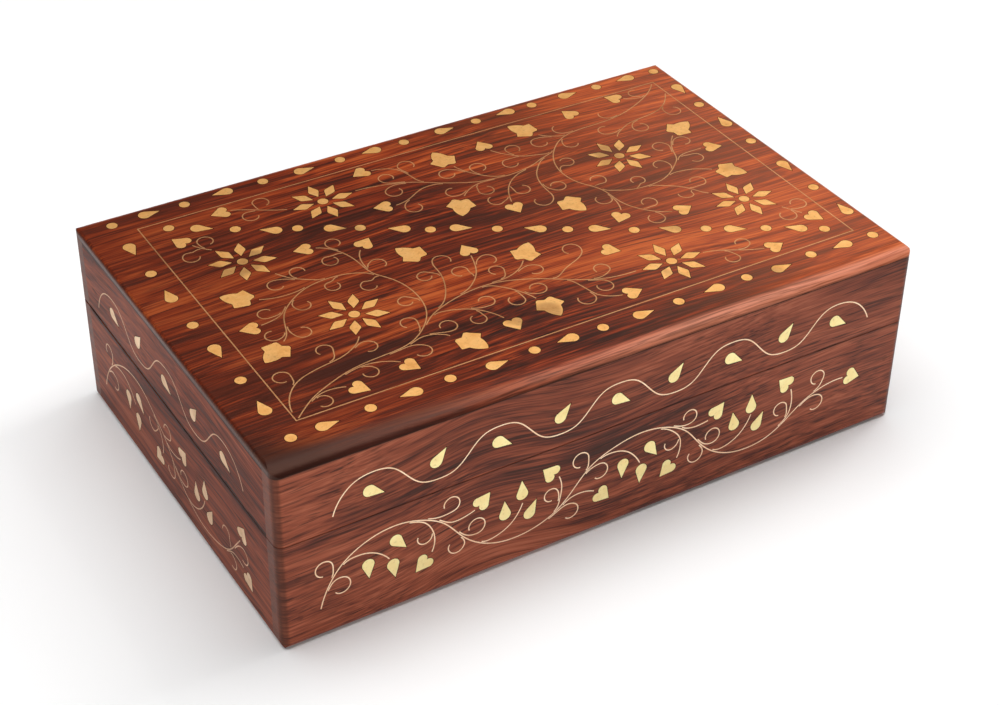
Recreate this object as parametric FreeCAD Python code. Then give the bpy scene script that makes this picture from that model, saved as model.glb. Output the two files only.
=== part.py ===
import FreeCAD, Part
import math
import os

# Hinged wooden box of dark red-brown hardwood, inlaid with brass leaves and brass wire.
# Millimetres. +X runs along the length, the front faces -Y, +Z is up.
# The origin is the centre of the underside.

V = FreeCAD.Vector

# ---- driving dimensions -------------------------------------------------------------
LENGTH = 254.0
DEPTH = 164.0
HEIGHT = 74.5
FRONT_BOARD = 7.5            # front and back boards run the full length
SIDE_BOARD = 9.0             # side boards stand between them
BASE_RIM_Z = 43.6            # top of the base walls
GAP_FRONT = 0.3              # the lid meets the base at the front
GAP_REAR = 1.0               # and stands a little open over the hinges
TOP_BOARD = 3.0
BOTTOM_BOARD = 5.0
RABBET = 4.0                 # step in the walls that takes the bottom board
CORNER_R = 3.2               # upright edges
FOOT_R = 2.6                 # edges round the underside
FRONT_FALL = 8.0             # the top board rounds down this far in from its front edge
BACK_FALL = 3.2              # and this far in from its back edge
END_R = 1.5                  # ends of the top board
LINING = 1.2                 # velvet-covered card on the walls
PAD = 2.4                    # velvet pads on the floor and under the lid
FIT = 0.1

INLAY_DEPTH = 1.0
BEDDING = 0.2                # dark cement that shows round each piece of sheet brass
WIRE = 0.45
WIRE_GAP = 0.12              # wood left between two wires that run side by side

HINGE_X = 72.0               # hinge centres, left and right of the middle
HINGE_LENGTH = 24.0
LEAF = 0.9
PIN_R = 0.9
PIN_PLAY = 0.05
KNUCKLE_R = 1.9
KNUCKLE_HALF = 3.9           # half length of the middle knuckle
KNUCKLE_GAP = 0.2
KNUCKLE_ROOM = 0.3           # air between a knuckle and the wood cut away for it
LEAF_INNER_Y = DEPTH / 2 - 6.4
AXIS_Y = DEPTH / 2 - 0.3
AXIS_Z = BASE_RIM_Z + GAP_REAR / 2
SCREW_Y = LEAF_INNER_Y + 2.0

# ---- the two designs on the top board -------------------------------------------------
# Leaves and hearts: centre x, y and the direction of the tip in degrees.
# Flowers: centre x, y and the turn of the first petal.
BORDER_CORNERS = [(-108.5, -61.6), (115.8, -61.4), (116.7, 68.0), (-107.8, 68.2)]

LOWER_FLOWERS = [(-84.2, 30.1, 27), (-65.3, -18.4, 20), (47.1, -45.1, -2)]
UPPER_FLOWERS = [(94.6, -23.9, -3), (72.0, 25.5, 12), (-41.4, 52.1, 0)]

LOWER_IVY = [
    (-95.7, 9.6, 140), (-98.3, -25.2, 214), (-30.6, 5.1, 119),
    (-38.7, -52.4, -64), (-4.9, -47.8, -90), (5.4, -14.4, 50),
]
UPPER_IVY = [
    (102.6, -4.6, -46), (104.5, 31.6, 24), (37.4, 4.5, -71),
    (50.1, 60.9, 125), (11.6, 56.8, 95), (0.9, 23.4, -116),
]

LOWER_HEARTS = [
    (-97.9, 52.5, 124), (-62.2, 26.3, 170), (-41.5, 19.2, 40), (-99.5, -8.8, 170),
    (-12.0, -3.0, 92), (32.2, -28.2, -40), (-83.2, -56.3, -48), (-63.0, -53.7, -58),
    (-21.2, -50.5, -90), (24.2, -54.6, 0), (84.7, -55.6, 5),
]
UPPER_HEARTS = [
    (109.6, -46.5, -65), (70.9, -18.5, 5), (47.7, -11.6, 228), (107.0, 13.5, -20),
    (17.9, 13.1, -92), (-23.9, 37.6, 165), (95.2, 64.6, 135), (72.9, 62.5, 112),
    (30.3, 57.9, 90), (-19.9, 63.2, 195), (-77.4, 63.4, 180),
]

# Stems of the lower design, each a run of points; "off" names the stem it leaves.
LOWER_STEMS = {
    "flower": {"points": [
        (-107.7, -57.0), (-106.0, -51.5), (-103.0, -46.8), (-99.0, -43.3), (-93.5, -41.0),
        (-87.0, -39.6), (-81.0, -38.5), (-76.0, -36.4), (-72.2, -33.6), (-70.0, -30.8)]},
    "main": {"points": [
        (-107.3, -60.8), (-103.0, -56.9), (-98.0, -53.2), (-90.0, -49.3), (-82.0, -46.4),
        (-73.0, -44.8), (-63.0, -44.0), (-57.0, -42.6), (-51.0, -38.9), (-46.2, -34.0),
        (-42.6, -27.5), (-41.2, -20.0), (-41.8, -12.0), (-44.6, -4.8), (-48.0, 0.8),
        (-49.0, 7.0), (-49.6, 12.5), (-51.6, 18.5), (-54.6, 22.8), (-58.0, 25.1)]},
    "right": {"off": "main", "points": [
        (-47.6, -35.8), (-42.0, -31.7), (-36.0, -28.9), (-28.0, -26.5), (-20.0, -25.5),
        (-13.0, -26.0), (-6.0, -28.2), (0.0, -31.0), (6.0, -34.7), (12.0, -38.6),
        (18.5, -41.8), (26.0, -43.7), (32.6, -44.1)]},
    "left": {"off": "main", "points": [
        (-47.4, 0.0), (-52.0, 3.2), (-58.0, 5.2), (-65.0, 5.5), (-72.0, 4.1), (-78.0, 1.0),
        (-82.5, -2.6), (-86.4, -7.5), (-88.6, -13.0), (-90.6, -18.0), (-93.0, -20.8)]},
    "to_flower": {"off": "left", "points": [
        (-64.0, 6.2), (-69.5, 8.5), (-73.6, 11.6), (-76.2, 15.0), (-77.6, 17.4)]},
    "past_flower": {"points": [(-90.5, 42.4), (-93.5, 45.6), (-95.2, 48.4)]},
    "left_ivy": {"off": "left", "points": [
        (-72.5, 4.2), (-79.0, 3.4), (-85.0, 4.0), (-89.4, 5.6)]},
    "left_heart": {"off": "left", "points": [
        (-83.0, -3.1), (-86.8, -6.2), (-91.0, -8.0), (-95.4, -8.6)]},
    "side_heart": {"off": "main", "points": [
        (-49.1, 4.0), (-48.0, 9.0), (-46.8, 13.0), (-44.9, 15.9)]},
    "tall": {"off": "right", "points": [
        (-38.5, -29.8), (-33.0, -24.2), (-29.3, -17.0), (-27.5, -9.5), (-26.9, -4.2),
        (-24.6, -1.4), (-21.5, -1.7), (-20.0, -4.1), (-20.8, -6.4)]},
    "rising": {"off": "right", "points": [
        (-28.0, -26.3), (-21.0, -22.2), (-16.6, -17.2), (-13.9, -11.2), (-12.6, -6.7)]},
    "to_ivy": {"off": "right", "points": [
        (-15.0, -25.8), (-8.0, -24.9), (-3.0, -22.9), (0.0, -20.6), (1.7, -18.7)]},
    "up_curl": {"off": "right", "points": [
        (4.6, -33.8), (11.0, -31.0), (17.0, -28.2), (21.6, -25.6), (23.8, -21.8),
        (22.7, -18.5), (19.8, -17.7), (17.5, -19.8), (18.1, -22.8)]},
    "down_heart": {"off": "right", "points": [
        (8.8, -36.6), (10.4, -40.5), (11.6, -45.5), (12.9, -49.6), (16.0, -52.6), (20.2, -54.2)]},
    "fall_heart": {"off": "right", "points": [
        (-42.5, -32.0), (-36.0, -32.6), (-30.0, -35.2), (-25.5, -39.6), (-22.4, -45.6)]},
    "fall_ivy": {"off": "right", "points": [
        (-19.5, -25.6), (-13.5, -29.1), (-9.8, -34.0), (-7.6, -38.4), (-6.8, -41.1)]},
    "low_ivy": {"off": "main", "points": [
        (-57.5, -42.8), (-52.0, -41.6), (-47.0, -42.6), (-43.4, -45.6)]},
    "low_heart": {"off": "main", "points": [
        (-84.0, -47.1), (-76.0, -46.1), (-69.5, -47.5), (-64.9, -50.4)]},
    "first_heart": {"off": "main", "points": [
        (-100.0, -54.7), (-94.6, -52.6), (-90.0, -52.6), (-86.6, -53.6)]},
    "flower_heart": {"points": [
        (60.0, -46.1), (64.0, -47.2), (68.5, -49.2), (73.5, -52.0), (78.0, -54.0), (80.6, -54.9)]},
}

# Curls: the stem it leaves, where, centre x, y, radius, first and last angle on the curl.
LOWER_CURLS = [
    ("flower", (-100.6, -44.6), (-102.6, -38.8), 3.3, -25, 285),
    ("flower", (-85.0, -39.2), (-83.7, -32.0), 3.2, -40, 215),
    ("flower", (-74.5, -35.5), (-69.9, -37.6), 3.3, 80, -125),
    ("first_heart", (-98.0, -53.6), (-96.4, -57.1), 3.2, 80, -140),
    ("low_heart", (-77.5, -46.3), (-76.2, -50.4), 3.1, 55, -190),
    ("main", (-50.8, -38.7), (-51.9, -32.2), 3.3, -35, 230),
    ("main", (-66.0, -44.3), (-55.6, -48.6), 3.5, 70, -160),
    ("main", (-41.3, -22.5), (-46.5, -20.4), 3.0, 20, 325),
    ("main", (-46.6, -1.6), (-52.7, -5.6), 3.3, 50, 330),
    ("left", (-59.5, 5.4), (-63.7, 0.4), 3.0, 75, 390),
    ("left", (-79.6, 0.0), (-77.9, -4.8), 3.2, 180, 390),
    ("left_heart", (-86.0, -5.6), (-91.2, -3.2), 3.1, 290, 25),
    ("left", (-88.8, -13.5), (-85.0, -19.0), 3.3, 185, 440),
    ("left", (-90.0, -16.6), (-94.6, -16.0), 3.2, 300, 75),
    ("to_flower", (-73.0, 11.0), (-80.6, 10.6), 3.3, 65, 320),
    ("to_flower", (-72.6, 10.7), (-70.3, 14.5), 3.1, 190, -15),
    ("main", (-51.2, 17.4), (-57.2, 15.0), 3.2, 60, 400),
    ("main", (-52.2, 19.6), (-51.2, 24.9), 3.0, 195, -70),
    ("side_heart", (-49.0, 4.6), (-43.6, 4.9), 3.4, 150, -60),
    ("tall", (-28.3, -12.5), (-33.3, -10.2), 3.0, 25, 340),
    ("rising", (-18.0, -18.9), (-21.2, -13.7), 3.3, -30, 258),
    ("rising", (-14.4, -12.4), (-8.8, -12.0), 3.5, 140, -75),
    ("to_ivy", (-11.0, -25.2), (-9.8, -19.3), 3.0, -40, 238),
    ("to_ivy", (-3.8, -23.2), (2.4, -25.7), 3.1, 75, -150),
    ("right", (17.0, -41.3), (22.8, -36.8), 3.2, -75, 200),
    ("right", (15.0, -40.2), (17.9, -46.4), 3.3, 35, -215),
    ("down_heart", (12.0, -47.0), (8.0, -49.9), 3.5, -35, -220),
    ("fall_heart", (-29.5, -35.5), (-22.5, -33.9), 3.2, -110, 155),
    ("fall_heart", (-28.0, -36.8), (-30.3, -41.8), 3.1, 30, -250),
    ("fall_ivy", (-8.8, -36.0), (-3.0, -36.0), 3.4, -125, 165),
    ("fall_ivy", (-10.3, -33.2), (-13.2, -38.6), 3.3, 20, -245),
    ("low_ivy", (-49.0, -42.0), (-41.2, -40.2), 3.4, -110, 180),
    ("past_flower", (-92.4, 44.4), (-90.0, 48.6), 3.2, 200, -75),
    ("past_flower", (-93.2, 45.2), (-98.5, 41.3), 3.5, 60, 345),
    ("flower_heart", (72.0, -51.1), (75.8, -47.9), 3.0, -80, 175),
    ("flower_heart", (67.5, -48.7), (67.0, -54.2), 3.0, 40, -225),
]

# The upper design is the lower one turned half round, laid out again by hand.
UPPER_STEMS = {
    "flower": {"points": [
        (115.7, 57.6), (113.6, 54.6), (110.8, 51.4), (107.0, 48.6), (101.5, 46.6), (95.0, 45.7),
        (89.0, 44.5), (84.0, 42.0), (80.8, 39.7), (79.6, 38.2)]},
    "main": {"points": [
        (115.4, 67.0), (112.0, 63.3), (107.5, 59.9), (103.0, 57.3), (98.0, 54.9), (92.0, 52.6),
        (86.0, 51.2), (78.0, 50.5), (70.0, 50.3), (64.0, 49.4), (58.5, 46.9), (53.5, 42.6),
        (49.8, 37.8), (47.3, 32.5), (46.1, 26.5), (46.4, 21.0), (48.3, 15.5), (51.2, 10.8),
        (52.9, 5.5), (53.3, 0.0), (54.5, -5.5), (57.3, -10.6), (60.5, -14.2), (64.0, -16.8),
        (66.4, -17.8)]},
    "right": {"off": "main", "points": [
        (52.2, 41.2), (46.0, 38.9), (40.0, 36.3), (34.0, 34.8), (28.0, 34.2), (22.0, 34.8),
        (16.0, 35.6), (10.0, 38.0), (4.0, 41.2), (0.0, 43.7), (-5.0, 47.0), (-10.0, 49.3),
        (-14.0, 50.5), (-20.0, 52.0), (-27.6, 52.8)]},
    "left": {"off": "main", "points": [
        (53.2, 8.2), (56.0, 5.3), (60.5, 3.0), (66.0, 1.8), (72.0, 1.8), (77.5, 3.1), (82.0, 5.6),
        (86.5, 9.3), (89.8, 12.8), (91.8, 17.6), (94.2, 22.6), (97.0, 26.3), (98.6, 28.0)]},
    "to_flower": {"off": "left", "points": [
        (69.0, 1.2), (74.0, -1.2), (78.6, -4.4), (81.8, -8.4), (84.0, -12.2), (85.6, -13.9)]},
    "past_flower": {"points": [
        (103.3, -35.4), (105.2, -38.8), (107.2, -42.4)]},
    "left_ivy": {"off": "left", "points": [
        (80.5, 4.2), (85.5, 4.4), (90.5, 3.3), (94.5, 1.2), (96.9, -0.4)]},
    "left_heart": {"off": "left", "points": [
        (89.0, 12.2), (92.5, 13.9), (97.0, 14.7), (102.4, 14.6)]},
    "side_heart": {"off": "main", "points": [
        (53.1, 4.0), (52.6, -1.0), (51.9, -4.5), (50.7, -7.6)]},
    "tall": {"off": "right", "points": [
        (46.2, 38.6), (41.0, 34.4), (37.3, 29.6), (35.2, 24.0), (34.5, 18.0), (34.2, 13.2),
        (31.8, 9.8), (28.4, 9.0), (26.1, 11.3), (27.4, 14.4)]},
    "rising": {"off": "right", "points": [
        (35.5, 34.9), (29.5, 32.3), (24.6, 28.4), (21.2, 23.4), (18.8, 17.4)]},
    "to_ivy": {"off": "right", "points": [
        (21.5, 34.4), (16.0, 34.7), (11.5, 33.6), (7.8, 31.4), (5.6, 29.4)]},
    "up_heart": {"off": "right", "points": [
        (3.5, 41.6), (-2.5, 42.3), (-7.5, 41.0), (-11.5, 38.6), (-15.5, 36.9), (-19.2, 36.3)]},
    "down_heart": {"off": "right", "points": [
        (-2.5, 45.6), (-4.4, 50.5), (-5.4, 55.5), (-8.0, 59.8), (-12.0, 62.0), (-15.6, 62.8)]},
    "fall_heart": {"off": "right", "points": [
        (50.0, 40.9), (45.0, 41.8), (40.5, 43.2), (36.5, 46.3), (33.4, 49.8), (31.2, 53.4)]},
    "fall_ivy": {"off": "right", "points": [
        (26.5, 34.7), (21.5, 36.8), (17.8, 40.6), (14.8, 45.2), (13.0, 50.0)]},
    "low_ivy": {"off": "main", "points": [
        (62.5, 49.6), (58.5, 50.6), (55.3, 52.7), (53.6, 54.6)]},
    "first_heart": {"off": "main", "points": [
        (107.5, 60.3), (103.5, 60.0), (100.0, 61.4), (98.6, 62.6)]},
    "flower_heart": {"points": [
        (-55.3, 53.6), (-59.0, 55.2), (-63.0, 57.5), (-67.0, 60.0), (-70.5, 62.0),
        (-73.6, 63.2)]},
}
UPPER_CURLS = [
    ("flower", (108.2, 49.4), (110.3, 44.5), 3.5, 165, 415),
    ("flower", (93.5, 45.5), (91.7, 39.8), 3.4, 140, 425),
    ("flower", (84.0, 42.0), (78.4, 44.7), 3.4, -85, -300),
    ("first_heart", (105.5, 60.3), (105.3, 64.0), 3.1, -100, -300),
    ("main", (89.0, 51.8), (85.4, 55.6), 3.5, -105, -215),
    ("main", (67.0, 50.1), (63.6, 54.5), 3.7, -110, -245),
    ("main", (59.5, 47.5), (61.1, 42.8), 3.4, 140, 330),
    ("main", (46.1, 26.6), (52.0, 31.8), 3.1, 222, 500),
    ("main", (51.0, 11.2), (55.0, 14.7), 3.4, 240, 525),
    ("left", (64.5, 2.2), (67.8, 7.0), 3.0, 255, 560),
    ("left", (84.2, 7.3), (81.8, 12.0), 3.2, 0, 210),
    ("left_heart", (92.0, 13.7), (96.6, 9.7), 3.3, 110, -155),
    ("left", (91.9, 17.5), (89.5, 23.3), 3.4, 5, 260),
    ("left", (94.0, 22.3), (99.7, 22.8), 3.3, 120, -105),
    ("to_flower", (81.3, -7.6), (87.0, -4.7), 3.4, -115, 170),
    ("to_flower", (82.0, -8.9), (77.9, -9.8), 3.4, 10, -200),
    ("main", (58.0, -11.4), (62.6, -8.2), 3.3, -115, 190),
    ("main", (61.0, -14.8), (58.6, -18.8), 3.5, 25, -250),
    ("side_heart", (52.7, 1.5), (49.0, 1.9), 3.4, -30, -240),
    ("tall", (35.3, 22.5), (39.7, 18.5), 3.3, 205, 520),
    ("rising", (23.4, 27.2), (26.9, 23.0), 3.4, 150, 420),
    ("rising", (20.0, 20.6), (14.3, 21.2), 3.4, -40, -255),
    ("to_ivy", (14.0, 34.6), (15.0, 29.1), 3.3, 140, 418),
    ("to_ivy", (8.6, 32.0), (3.6, 34.0), 3.3, -75, -290),
    ("up_heart", (-13.5, 37.6), (-14.2, 31.6), 3.4, 150, 395),
    ("right", (-8.5, 48.7), (-15.3, 45.0), 3.5, 105, 385),
    ("right", (-8.5, 49.3), (-13.3, 55.0), 3.2, 225, -40),
    ("down_heart", (-5.0, 54.0), (-2.3, 59.5), 3.5, 165, -50),
    ("fall_heart", (38.5, 44.4), (33.0, 41.3), 3.4, 65, 335),
    ("fall_heart", (37.0, 45.7), (39.2, 50.0), 3.2, 210, -60),
    ("fall_ivy", (15.2, 44.6), (8.0, 46.2), 3.4, 55, 345),
    ("fall_ivy", (18.3, 39.8), (20.6, 44.7), 3.4, 200, -80),
    ("low_ivy", (57.5, 51.2), (50.8, 49.2), 3.6, 70, 335),
    ("past_flower", (105.2, -38.8), (101.6, -41.2), 3.5, 10, -245),
    ("past_flower", (105.0, -38.4), (110.0, -36.2), 3.4, -115, 165),
    ("flower_heart", (-64.5, 58.6), (-61.5, 62.6), 3.4, 205, -70),
    ("flower_heart", (-65.5, 59.0), (-68.7, 55.8), 3.4, 60, 345),
]

# ---- the borders and the slanting row on the top board ----------------------------------
DOT_R = 2.0
DROP_LENGTH = 8.3
DROP_R = 2.3
BORDER_DOTS = [
    (-113.9, -68.6), (-85.1, -67.5), (-55.3, -66.5), (-23.3, -66.8), (3.6, -67.2), (34.7, -67.2),
    (63.9, -66.9), (92.6, -66.4), (120.1, -67.2),
    (-114.9, 74.9), (-86.4, 75.4), (-54.4, 76.0), (-22.1, 75.9), (5.4, 75.5), (37.9, 76.0),
    (63.8, 76.2), (94.4, 76.0), (122.2, 75.6),
    (-115.1, 38.8), (-115.3, 2.9), (-114.6, -33.4), (122.2, 43.4), (122.7, 9.5), (122.2, -30.1)]
BORDER_DROPS = [
    (-100.9, -68.4, 0), (-70.2, -67.1, 180), (-38.0, -67.4, 0), (-10.4, -66.9, 180),
    (20.2, -67.3, 0), (49.7, -67.0, 180), (78.5, -68.0, 0), (106.1, -67.1, 180),
    (-100.1, 75.9, 0), (-70.9, 76.2, 180), (-37.3, 75.7, 0), (-8.8, 75.8, 180),
    (23.7, 75.9, 0), (51.4, 76.2, 180), (80.8, 76.2, 0), (108.4, 76.1, 180),
    (-115.0, 56.8, -90), (-115.1, 22.9, 90), (-114.6, -14.8, -90), (-114.8, -50.2, 90),
    (122.9, 58.0, -90), (122.6, 27.2, 90), (122.7, -12.3, -90), (122.4, -48.0, 90)]
SLANTING_DOTS = [
    (-97.9, 63.2), (-77.4, 50.7), (-57.7, 40.1), (-38.0, 29.1), (-16.6, 15.5), (4.6, 3.9),
    (26.5, -9.1), (47.1, -21.5), (70.2, -33.7), (89.3, -44.3), (107.5, -55.3)]
SLANTING_DROPS = [
    (-87.6, 57.2, -32), (-66.6, 43.8, 147), (-45.9, 33.4, -31), (-26.1, 21.6, 147),
    (-6.4, 11.0, -30), (16.6, -2.8, 143), (36.9, -14.5, -33), (58.8, -27.3, 140),
    (79.4, -39.1, -31), (98.9, -49.6, 141)]

# ---- the design on the front and side walls ---------------------------------------------
WAVE_PERIOD = 46.8
WAVE_HIGH = 61.6
WAVE_LOW = 48.9
FRONT_CREST = 1.5
SIDE_CREST = -2.4
WAVE_END_DROP = 12.4         # the wire ends this far below its last crest
FRONT_WAVE_DROPS = [
    (-92.2, 53.5, -26), (-44.5, 54.3, -28), (2.3, 54.3, -28), (49.3, 54.0, -27), (95.3, 53.7, -27),
    (-68.3, 57.6, 51), (-20.9, 57.3, 50), (24.9, 57.2, 53), (71.9, 57.2, 53)]
SIDE_WAVE_DROPS = [
    (-48.2, 54.3, -27), (-2.6, 53.9, -27), (44.9, 53.5, -28), (-25.9, 58.0, 50), (21.0, 57.5, 51)]

# The scroll of a base wall: stem, branches, curls, drops and hearts.
# Branches run outward from the stem. A curl names the branch it leaves, or "stem".
FRONT_SCROLL = {
    "stem": [
        (-112.9, 12.4), (-109.7, 20.9), (-104.0, 28.6), (-97.0, 33.2), (-90.0, 35.5),
        (-82.0, 35.8), (-74.8, 33.9), (-67.1, 29.4), (-59.3, 20.0), (-52.9, 14.6), (-46.0, 11.7),
        (-39.0, 10.9), (-30.0, 12.3), (-22.0, 16.2), (-15.5, 22.8), (-9.0, 29.8), (0.0, 34.2),
        (11.6, 36.4), (21.5, 34.8), (30.5, 29.9), (37.5, 21.3), (44.0, 15.2), (51.0, 11.9),
        (59.3, 10.8), (67.5, 12.2), (75.0, 16.4), (82.0, 21.9), (91.0, 26.0), (101.0, 26.9)],
    "branches": [
        [(-104.6, 28.2), (-99.5, 29.2), (-94.0, 28.3), (-89.6, 25.4), (-87.4, 22.8)],
        [(-5.2, 31.8), (0.2, 32.3), (5.0, 30.9), (9.0, 27.4), (11.6, 23.2)],
        [(-79.5, 35.4), (-74.2, 32.6), (-71.3, 28.6), (-70.3, 24.0), (-71.4, 18.8)],
        [(20.0, 35.3), (25.2, 31.6), (28.2, 27.8), (28.8, 23.6), (27.6, 18.9)],
        [(-69.0, 30.5), (-64.0, 28.4), (-59.0, 28.5), (-54.9, 29.8)],
        [(28.4, 31.0), (32.4, 30.3), (36.4, 30.0), (40.2, 30.6)],
        [(-52.5, 14.4), (-46.0, 15.0), (-40.6, 18.0), (-37.4, 22.2), (-36.2, 25.0)],
        [(43.1, 15.8), (49.6, 15.9), (55.0, 18.9), (58.2, 23.1), (59.4, 25.9)],
        [(-23.2, 15.4), (-21.2, 20.5), (-20.6, 25.8), (-21.8, 30.6)],
        [(-20.0, 17.4), (-15.5, 19.5), (-10.5, 19.4), (-7.2, 18.2)],
        [(73.0, 15.0), (76.5, 19.0), (77.8, 24.5), (76.9, 30.6)]],
    "curls": [
        ("stem", (-108.0, 23.8), (-111.2, 28.6), 3.5, -15, 262),
        ("stem", (-110.4, 19.2), (-105.2, 19.1), 3.7, 105, -138),
        (2, (-70.6, 26.8), (-74.3, 26.2), 3.0, -25, -200),
        ("stem", (-73.0, 33.1), (-63.9, 36.1), 3.4, -95, 195),
        ("stem", (-61.5, 22.5), (-54.3, 22.7), 3.6, -110, 198),
        ("stem", (-59.8, 20.6), (-62.3, 17.4), 3.4, -5, -212),
        ("stem", (-10.5, 28.4), (-13.3, 34.0), 3.5, -15, 270),
        ("stem", (-11.0, 27.4), (-5.2, 26.1), 3.6, 115, -130),
        (8, (-21.4, 19.8), (-24.9, 23.5), 3.0, 5, 280),
        ("stem", (-26.0, 14.2), (-16.8, 13.1), 3.5, 90, -130),
        (3, (28.3, 27.2), (24.4, 26.5), 3.0, -25, -200),
        ("stem", (25.0, 33.3), (32.0, 35.5), 3.2, -95, 195),
        ("stem", (35.9, 23.4), (42.6, 23.0), 3.5, -110, 198),
        ("stem", (37.6, 21.2), (35.4, 17.0), 3.4, 0, -212),
        (10, (76.0, 18.0), (72.7, 23.0), 3.2, -10, 262),
        ("stem", (88.0, 25.0), (88.7, 31.4), 3.3, -35, 262),
        ("stem", (81.5, 21.4), (89.0, 20.0), 3.6, 90, -130)],
    "drops": [
        (-95.1, 21.8, -88), (-83.6, 28.2, -50), (-85.8, 17.9, -83),
        (4.4, 23.4, -93), (16.5, 27.2, -56), (12.3, 18.0, -95),
        (-43.2, 24.6, 92), (-36.5, 30.7, 92), (-32.6, 20.9, 63),
        (51.8, 25.8, 99), (59.2, 30.8, 91), (63.1, 21.6, 63)],
    "hearts": [
        (-74.8, 15.0, 222), (23.6, 15.6, 222), (-51.8, 32.4, 45), (44.1, 33.4, 47),
        (-25.4, 33.6, 140), (-3.7, 15.1, -42), (73.9, 34.2, 140), (105.2, 26.1, -20)]}
SIDE_SCROLL = {
    "stem": [
        (-66.4, 13.3), (-63.4, 19.8), (-58.6, 26.0), (-50.0, 32.4), (-42.0, 35.7), (-34.0, 36.8),
        (-26.0, 35.6), (-17.8, 31.6), (-9.1, 26.6), (-2.6, 19.6), (3.8, 14.2), (12.0, 10.0),
        (22.2, 8.2), (33.0, 9.9), (42.0, 14.0), (48.0, 20.4), (52.4, 25.7)],
    "branches": [
        [(-53.6, 29.9), (-48.6, 31.0), (-43.4, 30.4), (-39.0, 27.6), (-36.0, 23.8)],
        [(-18.0, 31.4), (-13.8, 27.4), (-12.0, 23.0), (-12.6, 17.6)],
        [(-7.6, 25.4), (-3.0, 24.6), (1.6, 25.2), (4.2, 26.4)],
        [(8.4, 11.6), (14.4, 12.2), (19.4, 15.4), (22.4, 19.2), (23.6, 21.8)],
        [(39.5, 12.4), (45.0, 15.0), (50.0, 15.4), (53.4, 14.6)]],
    "curls": [
        ("stem", (-57.0, 27.6), (-58.7, 33.0), 3.3, -25, 215),
        ("stem", (-61.2, 22.6), (-56.0, 20.9), 3.6, 100, -110),
        (1, (-14.8, 28.6), (-20.1, 26.2), 3.3, -30, -208),
        ("stem", (-10.0, 27.0), (-6.4, 31.2), 3.3, -95, 180),
        ("stem", (-2.0, 18.8), (5.8, 19.2), 3.4, -105, 190),
        ("stem", (-3.6, 20.8), (-5.9, 14.6), 3.3, 20, -190),
        ("stem", (44.0, 15.8), (40.4, 20.2), 3.1, -25, 180),
        ("stem", (46.6, 18.8), (54.5, 20.2), 3.5, 125, -120),
        (4, (42.6, 14.0), (44.6, 10.2), 3.0, 65, -120)],
    "drops": [
        (-42.4, 21.8, -89), (-31.1, 27.2, -50), (-34.6, 16.5, -95),
        (16.8, 21.4, 93), (24.5, 27.4, 89), (27.6, 17.9, 61)],
    "hearts": [
        (7.0, 29.8, 48), (-16.4, 13.8, 220), (54.7, 30.1, 65), (57.1, 11.4, -50)]}

NAIL_X = LENGTH / 2 - 6.5
NAIL_HEIGHTS = [12.0, 28.7]
BRAD_SPOTS = [(x, side * (DEPTH / 2 - 5.2)) for x in (-95.0, 0.0, 95.0) for side in (-1, 1)]


# ---- flat outlines, drawn in the plane z = 0 ----------------------------------------------
def line(a, b):
    return Part.LineSegment(V(*a), V(*b)).toShape()


def arc(a, through, b):
    return Part.Arc(V(*a), V(*through), V(*b)).toShape()


def polar(radius, degrees):
    angle = math.radians(degrees)
    return (radius * math.cos(angle), radius * math.sin(angle), 0)


def dot_outline():
    return Part.Wire([Part.makeCircle(DOT_R)])


def drop_outline():
    # A round end and two straight sides that run to the tip.
    tip_x = DROP_LENGTH / 2
    centre_x = DROP_R - DROP_LENGTH / 2
    half = math.degrees(math.acos(DROP_R / (tip_x - centre_x)))
    x, y, _ = polar(DROP_R, half)
    upper = (centre_x + x, y, 0)
    lower = (centre_x + x, -y, 0)
    back = (centre_x - DROP_R, 0, 0)
    tip = (tip_x, 0, 0)
    return Part.Wire([arc(upper, back, lower), line(lower, tip), line(tip, upper)])


def heart_outline():
    # Two lobes that meet in a notch, and straight flanks to the tip.
    tip = (3.9, 0, 0)
    notch = (-1.9, 0, 0)
    edges = []
    for side in (1, -1):
        flank = (0.1, 2.95 * side, 0)
        crown = (-3.0, 2.2 * side, 0)
        edges.append([line(tip, flank), arc(flank, crown, notch)])
    return Part.Wire(Part.__sortEdges__(edges[0] + edges[1]))


def ivy_outline():
    # A full pointed lobe, two small side points and two rounded shoulders by the stem.
    tip = (6.4, 0, 0)
    stem = (-4.4, 0, 0)
    edges = []
    for side in (1, -1):
        neck = (1.0, 3.3 * side, 0)
        point = (-0.4, 5.6 * side, 0)
        shoulder = (-4.1, 3.5 * side, 0)
        heel = (-5.3, 2.1 * side, 0)
        edges.append(arc(tip, (4.0, 2.2 * side, 0), neck))
        edges.append(line(neck, point))
        edges.append(line(point, shoulder))
        edges.append(arc(shoulder, (-5.0, 3.0 * side, 0), heel))
        edges.append(line(heel, stem))
    return Part.Wire(Part.__sortEdges__(edges))


def petal_outline():
    # A lozenge that starts beside the flower's centre and leans slightly along its turn.
    inner = (3.7, 0, 0)
    outer = (12.2, 0, 0)
    edges = []
    for side in (1, -1):
        near = (7.0, 1.75 * side, 0)
        widest = (7.8, 1.95 * side, 0)
        far = (8.6, 1.75 * side, 0)
        edges.append(line(inner, near))
        edges.append(arc(near, widest, far))
        edges.append(line(far, outer))
    return Part.Wire(Part.__sortEdges__(edges))


def placed(outline, x, y, degrees=0.0):
    copy = outline.copy()
    copy.rotate(V(0, 0, 0), V(0, 0, 1), degrees)
    copy.translate(V(x, y, 0))
    return copy


def sunk(face, height=0.0):
    # The solid between a flat face and the depth of the inlay, with some height above it.
    raised = face.copy()
    raised.translate(V(0, 0, height))
    return raised.extrude(V(0, 0, -INLAY_DEPTH - height))


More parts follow.
